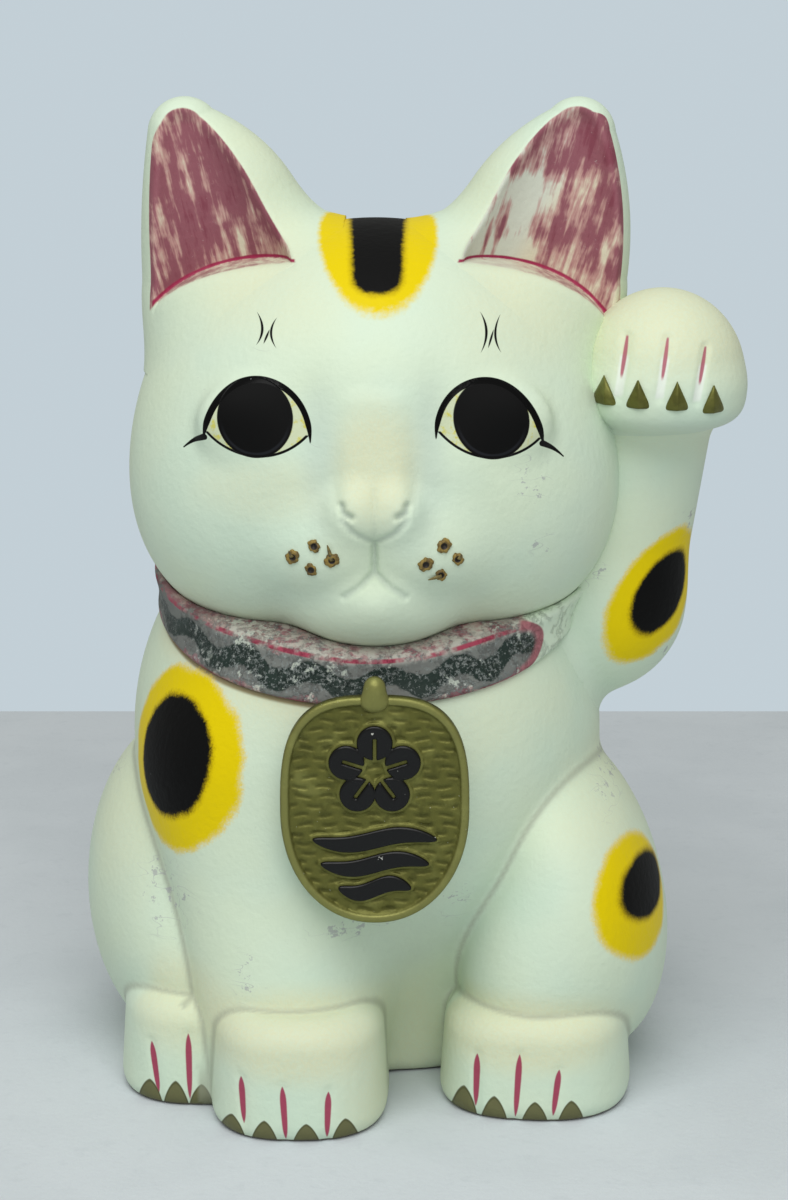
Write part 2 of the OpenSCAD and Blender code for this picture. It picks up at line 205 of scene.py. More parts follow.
# one row for each toe crease: x, z of its top and of its bottom
TOES_FORE = (((-42.2, 20), (-41.3, 5)), ((-29.1, 18.5), (-28, 1)), ((-14.6, 16.5), (-15.1, 1.4)))
TOES_LEFT = (((32.7, 21), (32.2, 3.6)), ((46.1, 22.5), (44.8, 1.5)), ((58.7, 17.7), (56.8, 2.3)))
TOES_RIGHT = (((-72.5, 20.5), (-70.2, 3.6)), ((-60.4, 24.5), (-60, 2.5)))
TOES = TOES_FORE + TOES_LEFT + TOES_RIGHT


def body_parts(p):
    """The moulded forms, each with the radius of the fillet that joins it on."""
    left = ball(turned(p, (64, -8, 58), "y", -14), (63.5, -8, 58), (32.5, 60, 56))
    right = ball(p, (-62, 14, 54), (36.5, 58, 57))
    return ((torso(p), 0), (limb(p, (-38, -32, 102), (-25, -56, 8), 34, 29), 16),
            (join(left, ball(p, (52.5, -38, 38), (25, 33, 34)), 14), 4),
            (join(right, ball(p, (-57, -24, 38), (24, 32, 32)), 14), 3),
            (foot(p, (-24.5, -60, 14), (28, 35, 23.5)), 1.8),
            (foot(p, (52.5, -44, 12), (30.5, 34, 21.5), -6), 1.8),
            (foot(p, (-56, -30, 13), (27.5, 34, 22.5)), 1.8))


def standing(p):
    """The body before its floor is cut flat."""
    (d, _), *rest = body_parts(p)
    for part, k in rest:
        d = join(d, part, k)
    low = np.flatnonzero((p[2].ravel() < 30) & (p[1].ravel() < -40))
    if len(low):
        q = [v.ravel()[low] for v in p]
        crease = sum(0.5 * bump(stroke(q, top, bottom), 2.4) for top, bottom in TOES)
        d = d.copy()
        d.ravel()[low] += crease
    return d


def body(p):
    return carve(standing(p), -0.6 - p[2], 6)


# x, y and radius of what fills the pits between the feet and the torso from inside
PITS = ((-29.5, -26.4, 20), (37, -19, 12))


def hollow(p):
    """The form whose inner skin bounds the cavity and the base slab."""
    d = standing(p)
    for x, y, r in PITS:
        d = np.minimum(d, ball(p, (x, y, 3), (r, r, r)))
    return d


def body_folds(p):
    """1 in the folds where the limbs and feet meet the body, 0 elsewhere: the mask of the painted
    shade there.
    """
    (d, _), *rest = body_parts(p)
    found = np.zeros_like(d)
    for part, k in rest:
        found = np.where(part < d - 4, 0, found)
        found = np.maximum(found, bump(part - d, 2.0) * (k < 10))
        d = join(d, part, k)
    return found


def rim_lift(y, z):
    """Height over the plane of the collar's lower edge."""
    return (z - RIM_Z - RIM_RISE * (y - RIM_FRONT)) / math.hypot(1, RIM_RISE)


# ---------------------------------------------------------------- head
def skull(p):
    cheeks = ball(fold(p), (35, -16, 189), (39.5, 46, 38))
    return join(ball(p, (0, -6, 216), (76.5, 70, 65)), cheeks, 26)


def ear(p, side):
    q = [p[0] * side, p[1], p[2]]
    if side < 0:
        return horn(q, (44, 4, 258), (61.5, 2, 307.5), 32, 12, (-2.5, 0, 0), 3.6)
    return horn(q, (49, 2, 258), (65.5, 1, 307.5), 33, 12, (-1, 0, 0), 3.6)


ARCH_HALF, ARCH_BASE, ARCH_RISE = 82, 214, 57


def brow_arch(p):
    """Height over the arch that bounds the ear's dish from below."""
    reach = (np.abs(p[0]) / ARCH_HALF) ** 3 + (np.maximum(p[2] - ARCH_BASE, 0) / ARCH_RISE) ** 3
    return ARCH_RISE * (reach ** (1 / 3) - 1)


def ear_dish(p, side):
    q = [p[0] * side, p[1], p[2]]
    if side < 0:
        d = horn(q, (50, -34, 256), (62, -15, 311), 27, 10, (0, -5.5, 0), 4)
    else:
        d = horn(q, (54.5, -36, 256), (63.5, -16, 310), 30, 11.5, (0, -6, 0), 5)
    return np.maximum(d, -brow_arch(p))


def both_dishes(p):
    return np.minimum(ear_dish(p, -1), ear_dish(p, 1))


# one row for each line of the mouth: its two ends (x, z), its depth and its width
MOUTH = (((9.8, 197), (6.5, 193.2), 0.8, 1.7), ((6.5, 193.2), (0, 189.5), 0.8, 1.7),
         ((0, 206), (0, 190), 0.25, 1.2), ((0, 189.5), (0, 179), 0.9, 1.7),
         ((0, 179.5), (4.2, 175.2), 0.8, 1.8), ((4.2, 175.2), (9.4, 171.6), 0.7, 1.8))


def creases(p):
    """How deep in the lines of the nose and mouth a point is, 0 to 1: the mask of the painted shade
    in those lines.
    """
    q = fold(p)
    return np.maximum(mouth_depth(q), 1.2 * bump(nostril(q), 1.4)) * (p[1] < -60)


def mouth_depth(q):
    lines = [depth * bump(stroke(q, a, b), width) for a, b, depth, width in MOUTH]
    return np.max(lines, axis=0)


def nostril(q):
    return np.minimum(stroke(q, (7.2, 198.2), (9.6, 199.2)),
                      stroke(q, (9.6, 199.2), (9.9, 201.4)))


def face(p):
    """The head before the ears are stuck on."""
    q = fold(p)
    d = skull(p)
    nose = pillar(turned(p, (0, -60, 208), "x", -12), (0, -60.5, 211), (12.4, 18, 22), 3.6, 5.5)
    d = join(d, nose, 3.5)
    d = join(d, ball(q, (6, -72, 200), (9, 10.5, 8)), 5)
    d = join(d, ball(q, (12, -60.5, 184), (19, 17, 14)), 14)
    d = join(d, ball(p, (0, -63, 170), (12, 14, 8.5)), 7)
    d = join(d, ball(p, (0, -50, 165), (26, 23, 14.5)), 10)
    d = join(d, ball(q, (36.5, -59.5, 224), (18, 8, 13)), 6)
    d = d + 2.2 * spot(q, (20, 227), (8, 15)) - 1.2 * spot(p, (0, 246), (22, 16))
    d = d + 1.5 * bump(nostril(q), 1.9) * (p[1] < -60) + 0.6 * spot(q, (11.6, 203), (1.8, 4))
    return d + mouth_depth(q) * (p[1] < -50)


def head(p):
    d = face(p)
    for side in (-1, 1):
        d = carve(d, SINK - ear_dish(p, side), 2)
    return d


def stuck_ear(p, side):
    d = carve(join(ear(p, side), face(p) + SINK, 18), -ear_dish(p, side), 2)
    return np.maximum(np.maximum(d, ear(p, side) - 14.5), -head(p) - KEY)


def coin_head(p):
    shell = np.maximum(head(p), -head(p) - WALL)
    return carve(shell, -block(p, SLOT_MID, SLOT_HALF), 1.2)


# ---------------------------------------------------------------- arm, paw, tail
def arm_shape(p):
    d = limb(p, (71, 6, 154), (86, -2, 224), 30, 25.5)
    return join(d, limb(p, (45, 8, 140), (71, 6, 154), 30, 30), 10)


# x, z of the top and of the bottom of each line between the toes
PAW_LINES = (((79.6, 247), (76.6, 229)), ((92, 247), (89.2, 229)), ((104, 244), (101, 228)))


def paw_shape(p):
    d = ball(p, (92.5, -17, 232), (26.5, 29, 28))
    d = join(d, pillar(p, (92.5, -17, 227), (25, 28, 9), 2.4, 8), 6)
    d = carve(d, 215.5 - p[2], 7)
    for top, bottom in PAW_LINES:
        d = d + 0.7 * bump(stroke(p, top, bottom), 2.6) * (p[1] < -25)
    return d


def collar(p):
    neck = join(torso(p), face(p), 14) - COLLAR_OUT
    lift = rim_lift(p[1], p[2])
    d = carve(neck, np.maximum(0.1 - lift, lift - COLLAR_W), 3)
    bore = COLLAR_BORE - length(p[0], p[1] + 8)
    return np.maximum(np.maximum(d, 0.1 - face(p)), bore)


def whole_arm(p):
    return join(arm_shape(p), paw_shape(p), 8)


def arm_and_paw(p):
    d = luted(whole_arm(p), body(p), 7)
    d = np.maximum(d, -face(p) - KEY)
    return np.maximum(d, -collar(p) - 0.6)


def tail(p):
    root = ball(p, (12, 80, 19), (27, 15, 15))
    tip = ball(p, (-12, 83, 28), (14, 11, 15))
    d = luted(join(root, tip, 12), body(p), 5)
    return carve(d, -p[2] - 0.1, 1.5)


# ---------------------------------------------------------------- koban, claws, dabs
def on_koban(p):
    """Across, up and out from the tablet's middle."""
    x, y, z = (p[i] - KOBAN_MID[i] for i in range(3))
    return x, z * KOBAN_COS - y * KOBAN_SIN, -y * KOBAN_COS - z * KOBAN_SIN


def koban_edge(u, v):
    """Distance from the tablet's outline."""
    n = np.where(v > 0, 3.0, 2.1)
    q = ((np.abs(u) / KOBAN_HALF[0]) ** n + (np.abs(v) / KOBAN_HALF[1]) ** n) ** (1 / n)
    r = length(u, v)
    return r - r / np.maximum(q, 1e-6)


def chisel(u, v):
    """Rows of short sideways notches, staggered from row to row."""
    row = np.floor(v / 3.1)
    along = u / 7.5 + 0.37 * row + 0.12 * np.sin(row * 2.3)
    across = v / 3.1 - row - 0.5 + 0.12 * np.sin(u * 0.6 + row)
    dash = np.clip(1 - (2 * (along - np.floor(along) - 0.5) / 0.86) ** 4, 0, 1)
    return dash * np.clip(1 - (across / 0.33) ** 2, 0, 1)


def ornament_outline(u, v):
    """A five-petalled blossom over three waves: distances of both from above."""
    angle = np.arctan2(u, v - 13)
    turn = (angle / (2 * math.pi / 5) + 0.5) % 1 - 0.5
    r = length(u, v - 13)
    a = turn * 2 * math.pi / 5
    petal = length(r * np.sin(a), r * np.cos(a) - 9.2) - 5.6
    blossom = np.maximum(petal, 2.1 - r)
    stalks = np.maximum(length(r * np.sin(a), 0) - 0.5, r - 10.5)
    blossom = np.maximum(blossom, -stalks)
    waves = np.full_like(u, 99.0)
    for i, half in enumerate((19.5, 17, 11.5)):
        mid = -9.3 - 8.0 * i + 1.6 * np.sin(u / half * math.pi)
        thick = 3.0 * np.sqrt(np.clip(1 - (u / half) ** 2, 0.0, 1))
        waves = np.minimum(waves, np.maximum(np.abs(v - mid) - thick, np.abs(u) - half))
    return blossom, waves


def koban(p):
    u, v, w = on_koban(p)
    edge = koban_edge(u, v)
    plate = carve(edge, np.maximum(w - KOBAN_T, -w), 1.6)
    field = carve(edge + 2.6, 3.3 - w, 1.2)
    d = carve(plate, -field, 0.8)
    d = d + 0.45 * chisel(u, v) * (edge < -3.2) * (w > 2)
    ridge = np.minimum(*ornament_outline(u, v))
    halo = carve(ridge - 0.9, np.maximum(w - 3.75, 2 - w), 0.5)
    d = join(d, halo, 0.6)
    pad = ball([u, v, 0], (0, -5, 0), (26, 31, 30))
    return join(d, carve(pad, np.maximum(w - 1, -body(p) - 0.4), 1.5), 2)


def koban_ornament(which):
    def shape(p):
        u, v, w = on_koban(p)
        return carve(ornament_outline(u, v)[which], np.maximum(w - 4.9, 3.3 - w), 1.0)
    return shape


def bead(p):
    u, v, w = on_koban(p)
    top = KOBAN_HALF[1]
    q = [u, w - 3.2, v]
    knob = join(ball(q, (0, 0, top + 2.8), (3.4, 3.3, 3.6)),
                ball(q, (0, 0.4, top - 1.5), (4.6, 2.6, 3.6)), 2.5)
    return np.maximum(knob, -koban(p) - 0.5)


CLAWS = ((72.4, 226.6), (82.6, 226.4), (94.8, 226), (106.6, 224.6))


def paw_claws(p):
    d = np.full_like(p[0], 99.0)
    paw = whole_arm(p)
    for x, z in CLAWS:
        u, v = p[0] - x, p[2] - z
        sides = (np.abs(u) * 0.91 + v * 0.42) - 3.6
        outline = carve(sides, -v - 0.8, 1.2) * 0.8
        top = paw - 1.9 + 0.42 * np.abs(u) + 0.12 * np.abs(v - 2)
        d = np.minimum(d, carve(outline, top, 0.8))
    return np.maximum(d, -paw - 0.5)


DABS = {-1: ((-25.3, 184.4), (-18.6, 188.3), (-13.1, 184), (-19.6, 180.7)),
        1: ((21.4, 188.2), (25.7, 183.7), (15.8, 182.6), (20.5, 178.8))}


def cheek_point(x, z):
    """The point of the face in front of x, z, and its outward direction."""
    y = -95.0
    for _ in range(60):
        y += 0.8 * float(face([np.array([x]), np.array([y]), np.array([z])])[0])
    at = np.array([x, y, z])
    near = at[:, None] + np.eye(3) * 0.4
    out = face(near) - face([np.array([v]) for v in at])
    return at, out / np.linalg.norm(out)


def dabs(side):
    spots = [cheek_point(x, z)[0] for x, z in DABS[side]]

    def shape(p):
        skin = face(p)
        d = np.full_like(p[0], 99.0)
        for i, at in enumerate(spots):
            r = length(*(p[k] - at[k] for k in range(3)))
            turn = np.arctan2(p[2] - at[2], p[0] - at[0]) + i * 1.7
            ragged = (0.22 * np.sin(2 * turn) + 0.16 * np.sin(5 * turn + side)
                      + 0.1 * np.sin(9 * turn))
            pit = 0.75 * bump(length(p[0] - at[0], p[2] - at[2]), 1.3)
            outline = r - 2.3 + 0.35 * (i % 2) - ragged
            d = np.minimum(d, carve(outline, skin - 0.9 + pit, 0.7))
        return np.maximum(d, -skin - 0.3)
    return shape


def dab_pits(p):
    """1 in the pit in the middle of each dab, where a bristle stood."""
    at = [cheek_point(x, z)[0] for side in DABS for x, z in DABS[side]]
    return sum(bump(length(p[0] - a[0], p[2] - a[2]), 1.5) for a in at)


# ---------------------------------------------------------------- meshes
def finer(a, axis, times):
    """The array with times - 1 values put in between along one axis."""
    a = np.moveaxis(a, axis, 0)
    step = np.arange(times).reshape((1, -1) + (1,) * (a.ndim - 1)) / times
    mid = a[:-1, None] * (1 - step) + a[1:, None] * step
    a = np.concatenate([mid.reshape((-1,) + a.shape[1:]), a[-1:]])
    return np.moveaxis(a, 0, axis)


def slope(f, p, d, e=0.12):
    return np.stack([(f([p[k] + (e if k == i else 0) for k in range(3)]) - d) / e
                     for i in range(3)])


def surface(f, low, high, cell, relax=2):
    """Points (mm) and quads of the surface f = 0 inside a box."""
    step = 4
    low = np.array(low, float)
    count = np.ceil((np.array(high) - low) / (cell * step)).astype(int) + 1
    axes = [low[i] + cell * step * np.arange(count[i]) for i in range(3)]
    value = f(list(np.meshgrid(*axes, indexing="ij")))
    for axis in range(3):
        value = finer(value, axis, step)
    near = np.nonzero(np.abs(value) < 1.6 * step * cell)
    value[near] = f([low[i] + cell * near[i] for i in range(3)])
    grid = openvdb.FloatGrid(5.0)
    grid.copyFromArray(np.ascontiguousarray(value, np.float32))
    points, quads = grid.convertToQuads(0.0)
    p = (low + cell * np.asarray(points, float)).T
    quads = np.asarray(quads, int)[:, ::-1]
    ends = np.concatenate([np.stack([quads[:, i], quads[:, (i + 1) % 4]], 1) for i in range(4)])
    ends = np.concatenate([ends, ends[:, ::-1]])
    share = np.bincount(ends[:, 0], minlength=p.shape[1])
    for turn in range(relax + 1):
        for _ in range(2):
            d = f(list(p))
            g = slope(f, p, d)
            move = d / np.maximum((g * g).sum(0), 0.25)
            p = p - g * np.clip(move, -cell, cell)
        if turn < relax:
            total = np.stack([np.bincount(ends[:, 0], p[k][ends[:, 1]], p.shape[1])
                              for k in range(3)])
            p = p + 0.6 * (total / share - p)
    return p.T, quads


def to_bmesh(*parts):
    bm = bmesh.new()
    for points, quads in parts:
        verts = [bm.verts.new(v) for v in points]
        for q in quads:
            bm.faces.new([verts[i] for i in q])
    return bm


def cut(bm, at, away):
    """Cuts off what lies beyond the plane and closes the cut with flat faces."""
    made = bmesh.ops.bisect_plane(bm, geom=bm.verts[:] + bm.edges[:] + bm.faces[:], dist=1e-4,
                                  plane_co=at, plane_no=away, clear_outer=True)
    edges = [e for e in made["geom_cut"] if isinstance(e, bmesh.types.BMEdge) and e.is_valid]
    edges = [e for e in edges if len(e.link_faces) == 1]
    for e in edges:
        e.smooth = False
    filled = bmesh.ops.triangle_fill(bm, use_beauty=True, edges=edges, normal=away)
    for face_made in filled["geom"]:
        if isinstance(face_made, bmesh.types.BMFace):
            face_made.smooth = False


def trim(bm, *planes):
    """Cuts with each plane, given as a point of it and the direction that is cut away."""
    for at, away in planes:
        cut(bm, at, away)
    return bm


def piece(name, bm, body_name, material, stands_for=(), marks=None):
    for v in bm.verts:
        v.co *= MM
    mesh = bpy.data.meshes.new(name)
    bm.to_mesh(mesh)
    bm.free()
    if not mesh.polygons:
        raise ValueError(name + " has no faces")
    obj = bpy.data.objects.new(name, mesh)
    bpy.context.scene.collection.objects.link(obj)
    mesh.materials.append(material)
    for mark, formula in (marks or {}).items():
        at = np.zeros(len(mesh.vertices) * 3)
        mesh.vertices.foreach_get("co", at)
        values = formula(list(at.reshape(-1, 3).T / MM)).astype(np.float32)
        mesh.attributes.new(mark, "FLOAT", "POINT").data.foreach_set("value", values)
    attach(obj, body_name)
    if stands_for:
        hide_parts(*stands_for)
    return obj


def smooth_all(bm):
    for f in bm.faces:
        f.smooth = True
    return bm


def solid(f, low, high, cell):
    return smooth_all(to_bmesh(surface(f, low, high, cell)))


def shell(f, inner, low, high, cell, inner_cell=3.6):
    """Outer skin, and a skin one wall further in than inner that faces inwards."""
    outer = surface(f, low, high, cell)
    points, quads = surface(lambda p: inner(p) + WALL, low, high, inner_cell, relax=1)
    return smooth_all(to_bmesh(outer, (points, quads[:, ::-1])))


# ---------------------------------------------------------------- pieces
def slab(p):
    """The base plate, with the stopper's hole and the recess for its flange."""
    plug_low, plug_high = box_mm("stopper")
    r = length(p[0], p[1] - (plug_low.y + plug_high.y) / 2)
    hole = np.minimum(r - HOLE_R, np.maximum(r - RECESS[0], p[2] - RECESS[1]))
    return np.maximum(np.maximum(hollow(p) + WALL + SLAB_GAP, p[2] - SLAB_T), -hole)


FLOOR = (0, 0, 0), (0, 0, -1)


def add_shells(paint):
    """The hollow body and head, each in two halves."""
    rim = (0, RIM_FRONT, RIM_Z), (0, -RIM_RISE, 1)
    neck = (0, RIM_FRONT, RIM_Z + NECK_LAP), (0, RIM_RISE, -1)

    def seam(y, way):
        return (0, y, 0), (0, way, 0)

    folds, lines = {"fold": body_folds}, {"dish": both_dishes, "crease": creases}
    bm = shell(body, hollow, (-104, -104, -12), (104, SPLIT_BODY_Y + 20, 160), 1.3)
    trim(bm, FLOOR, rim, seam(SPLIT_BODY_Y, 1))
    piece("body_shell_front", bm, "cat", paint["body"], ["body_front"], folds)
    bm = shell(body, hollow, (-104, SPLIT_BODY_Y - 7, -12), (104, 92, 184), 1.8)
    trim(bm, FLOOR, rim, seam(SPLIT_BODY_Y, -1))
    piece("body_shell_back", bm, "cat", paint["body"], ["body_back"], folds)

    bm = trim(shell(head, head, (-86, -96, 140), (86, SPLIT_HEAD_Y + 4, 286), 0.9),
              neck, seam(SPLIT_HEAD_Y, 1))
    piece("head_shell_front", bm, "cat", paint["head"], ["head_front"], lines)
    bm = trim(solid(coin_head, (-86, SPLIT_HEAD_Y - 6, 140), (86, 70, 286), 1.6),
              neck, seam(SPLIT_HEAD_Y, -1))
    piece("head_shell_back", bm, "cat", paint["head"], ["head_back"], lines)


def add_limbs(paint):
    for side, name in SIDES:
        low = (min(side * 10, side * 90), -50, 232)
        high = (max(side * 10, side * 90), 44, 324)
        bm = solid(lambda p: stuck_ear(p, side), low, high, 0.8)
        piece("ear_horn_" + name, bm, "cat", paint["ear"], ["ear_" + name],
              {"dish": both_dishes})
    wrist = (0, 0, WRIST_Z)
    bm = trim(solid(arm_and_paw, (30, -54, 110), (126, 44, WRIST_Z + 5), 1.3), (wrist, (0, 0, 1)))
    piece("arm_upper", bm, "cat", paint["arm"], ["raised_arm"])
    bm = trim(solid(arm_and_paw, (54, -54, WRIST_Z - 3), (126, 32, 266), 0.8), (wrist, (0, 0, -1)))
    piece("paw_upper", bm, "cat", paint["paw"], ["raised_paw"])


def add_base(paint):
    bm = trim(solid(slab, (-98, -98, -12), (98, 92, 9), 1.0), FLOOR)
    piece("base_plate", bm, "cat", paint["clay"], ["base_slab"])


def add_small_pieces(paint):
    # name, formula, low and high corner of its box, cell, slot, paint, CAD node
    small = [
        ("tail_curl", tail, (-34, 60, -3), (46, 106, 50), 1.2, "white_clay", "body", "tail"),
        ("collar_band", collar, (-80, -90, 128), (80, 92, 194), 1.0,
         "collar_paint", "collar", "collar"),
        ("koban_plate", koban, (-33, -88, 64), (33, -58, 147), 0.5,
         "olive_gold", "koban", "koban"),
        ("koban_knob", bead, (-7, -90, 134), (7, -76, 152), 0.35,
         "olive_gold", "koban", "koban_bead"),
        ("blossom_relief", koban_ornament(0), (-18, -90, 98), (18, -78, 138), 0.4,
         "black_enamel", "enamel", "ornament_blossom"),
        ("wave_relief", koban_ornament(1), (-22, -88, 70), (22, -76, 104), 0.4,
         "black_enamel", "enamel", "ornament_wave"),
        ("claw_relief", paw_claws, (64, -54, 220), (116, -32, 240), 0.4,
         "olive_gold", "claw", "paw_claws"),
    ]
    for side, name in SIDES:
        ends = sorted((side * 10, side * 29))
        small.append(("glue_dabs_" + name, dabs(side), (ends[0], -84, 174), (ends[1], -70, 194),
                      0.3, "dried_glue", "glue", "whisker_dabs_" + name))
    for name, f, low, high, cell, slot, look, node in small:
        marks = {"pit": dab_pits} if look == "glue" else None
        piece(name, solid(f, low, high, cell), "cat", paint[look], [node], marks)
    for side, name in SIDES:
        piece("bristle_stubs_" + name, smooth_all(bristles(side)), "cat",
              paint["bristle"], ["whisker_stubs_" + name])


# each stub: the dab it stands on, how far it leans sideways and up, its length
STUBS = {-1: ((2, -1.0, 4.6, 5.2), (0, -0.4, 1.2, 2.2)),
         1: ((3, -3.8, -0.8, 4.2), (1, 0.6, 1.4, 1.8))}


def bristles(side):
    """Short, flattened, broken bristles lying on the cheek."""
    bm = bmesh.new()
    sides, rings = 8, 5
    for which, across, up, long in STUBS[side]:
        root, out = cheek_point(*DABS[side][which])
        way = np.array([across, 0, up], float)
        way = way / np.linalg.norm(way)
        rows = []
        for i in range(rings + 1):
            t = i / rings
            x, z = root[0] + way[0] * long * t, root[2] + way[2] * long * t
            at, lift = cheek_point(x, z)
            at = at + lift * (0.5 + 0.4 * t)
            wide = np.cross(way, lift)
            r = 0.75 * (1 - 0.75 * t ** 2)
            rows.append([bm.verts.new(at + wide * r * math.cos(a) + lift * 0.6 * r * math.sin(a))
                         for a in np.arange(sides) * 2 * math.pi / sides])
        for a, b in zip(rows, rows[1:]):
            for i in range(sides):
                j = (i + 1) % sides
                bm.faces.new((a[i], a[j], b[j], b[i]))
        bm.faces.new(rows[0][::-1])
        bm.faces.new(rows[-1])
    bmesh.ops.recalc_face_normals(bm, faces=bm.faces)
    return bm


# ---------------------------------------------------------------- paint by formula
class Num:
    """A number at each point of a surface, worked out by nodes from a formula."""

    def __init__(self, paint, socket):
        self.paint, self.socket = paint, socket

    def __add__(self, b): return self.paint.math("ADD", self, b)
    def __radd__(self, b): return self.paint.math("ADD", b, self)
    def __sub__(self, b): return self.paint.math("SUBTRACT", self, b)
    def __rsub__(self, b): return self.paint.math("SUBTRACT", b, self)
    def __mul__(self, b): return self.paint.math("MULTIPLY", self, b)
    def __rmul__(self, b): return self.paint.math("MULTIPLY", b, self)
    def __truediv__(self, b): return self.paint.math("DIVIDE", self, b)
    def __pow__(self, b): return self.paint.math("POWER", self, b)
    def __abs__(self): return self.paint.math("ABSOLUTE", self)
    def __neg__(self): return self.paint.math("MULTIPLY", self, -1.0)


def low(a, b): return a.paint.math("MINIMUM", a, b)
def high(a, b): return a.paint.math("MAXIMUM", a, b)
def root(a): return a.paint.math("SQRT", a)
def hypot(*parts): return root(sum(v * v for v in parts))


class Paint:
    """A material whose colour is built up in layers, in millimetres on the object."""

    def __init__(self, name, base, rough, **sockets):
        self.mat = bpy.data.materials.new(name)
        self.mat.use_nodes = True
        self.tree = self.mat.node_tree
        self.shader = self.tree.nodes["Principled BSDF"]
        for key, value in sockets.items():
            self.shader.inputs[key.replace("_", " ")].default_value = value
        self.shader.inputs["Roughness"].default_value = rough
        coords = self.tree.nodes.new("ShaderNodeTexCoord")
        to_mm = self.tree.nodes.new("ShaderNodeVectorMath")
        to_mm.operation = "SCALE"
        to_mm.inputs["Scale"].default_value = 1 / MM
        self.link(coords.outputs["Object"], to_mm.inputs[0])
        self.place = to_mm.outputs[0]
        axes = self.tree.nodes.new("ShaderNodeSeparateXYZ")
        self.link(self.place, axes.inputs[0])
        self.x, self.y, self.z = (Num(self, axes.outputs[i]) for i in range(3))
        self.colour, self.rough, self.base_rough = base, None, rough

    def link(self, a, b):
        self.tree.links.new(a, b)

    def feed(self, value, socket):
        if isinstance(value, Num):
            self.link(value.socket, socket)
        elif isinstance(value, bpy.types.NodeSocket):
            self.link(value, socket)
        else:
            socket.default_value = value

    def math(self, kind, *args):
        node = self.tree.nodes.new("ShaderNodeMath")
        node.operation = kind
        for i, a in enumerate(args):
            self.feed(a, node.inputs[i])
        return Num(self, node.outputs[0])

    def step(self, value, start, end):
        """0 below start, 1 above end, smooth between; start may be the larger."""
        node = self.tree.nodes.new("ShaderNodeMapRange")
        node.interpolation_type = "SMOOTHSTEP"
        self.feed(value, node.inputs["Value"])
        flip = start > end
        node.inputs["From Min"].default_value = min(start, end)
        node.inputs["From Max"].default_value = max(start, end)
        node.inputs["To Min"].default_value = 1.0 if flip else 0.0
        node.inputs["To Max"].default_value = 0.0 if flip else 1.0
        return Num(self, node.outputs["Result"])

    def noise(self, size, detail=3.0, rough=0.55, stretch=(1, 1, 1), shift=0.0, tilt=0.0):
        place = self.tree.nodes.new("ShaderNodeMapping")
        place.inputs["Scale"].default_value = [1 / (size * s) for s in stretch]
        place.inputs["Location"].default_value = (shift, shift * 0.7, shift * 1.3)
        source = self.place
        if tilt:
            lean = self.tree.nodes.new("ShaderNodeVectorRotate")
            lean.rotation_type = "Y_AXIS"
            lean.inputs["Angle"].default_value = tilt
            self.link(source, lean.inputs["Vector"])
            source = lean.outputs[0]
        self.link(source, place.inputs["Vector"])
        node = self.tree.nodes.new("ShaderNodeTexNoise")
        node.inputs["Scale"].default_value = 1.0
        node.inputs["Detail"].default_value = detail
        node.inputs["Roughness"].default_value = rough
        self.link(place.outputs[0], node.inputs["Vector"])
        return Num(self, node.outputs["Fac"])

    def mark(self, name):
        node = self.tree.nodes.new("ShaderNodeAttribute")
        node.attribute_name = name
        return Num(self, node.outputs["Fac"])

    def oval(self, mid, half, soft=0.3):
        """1 inside an oval seen from the front."""
        q = hypot((self.x - mid[0]) / half[0], (self.z - mid[1]) / half[1])
        return self.step(q, 1 + soft, 1 - soft)

    def layer(self, colour, mask, rough=None):
        node = self.tree.nodes.new("ShaderNodeMix")
        node.data_type = "RGBA"
        self.feed(mask, node.inputs[0])
        self.feed(self.colour if isinstance(self.colour, bpy.types.NodeSocket)
                  else (*self.colour, 1), node.inputs[6])
        self.feed((*colour, 1), node.inputs[7])
        self.colour = node.outputs[2]
        if rough is not None:
            old = self.base_rough if self.rough is None else self.rough
            self.rough = mask * rough + (1 - mask) * old
        return self

    def finish(self, relief=None, depth=0.2):
        self.feed(self.colour, self.shader.inputs["Base Color"])
        if self.rough is not None:
            self.feed(self.rough, self.shader.inputs["Roughness"])
        if relief is not None:
            node = self.tree.nodes.new("ShaderNodeBump")
            node.inputs["Distance"].default_value = depth * MM
            self.feed(relief, node.inputs["Height"])
            self.link(node.outputs[0], self.shader.inputs["Normal"])
        return self.mat


# ---------------------------------------------------------------- colours
CREAM = (0.66, 0.78, 0.62)
WARM = (0.72, 0.71, 0.46)
# grey-green used only for painted shade
SHADE_GREY = (0.48, 0.58, 0.54)
GREY = (0.40, 0.41, 0.42)
YELLOW = (0.78, 0.60, 0.0)
BLACK = (0.002, 0.002, 0.002)
CRIMSON = (0.36, 0.03, 0.09)
MAUVE = (0.25, 0.075, 0.105)
OLIVE = (0.135, 0.135, 0.03)


def white(name):
    """The cream ground coat, a little uneven, with fine brush marks."""
    p = Paint(name, CREAM, 0.45, Specular_IOR_Level=0.12)
    uneven = p.noise(42, 2.0)
    p.layer((0.70, 0.79, 0.57), p.step(uneven, 0.42, 0.72) * 0.4)
    p.layer((0.59, 0.76, 0.63), p.step(uneven, 0.52, 0.3) * 0.35)
    p.layer((0.56, 0.64, 0.50), p.step(p.noise(1.6, 4.0, 0.7), 0.6, 0.78) * 0.35)
    return p


def airbrush(p, mask, colour=WARM):
    speckle = p.step(p.noise(0.9, 3.0, 0.7, shift=3.0), 0.3, 0.7) * 0.45 + 0.55
    p.layer(colour, mask * speckle)


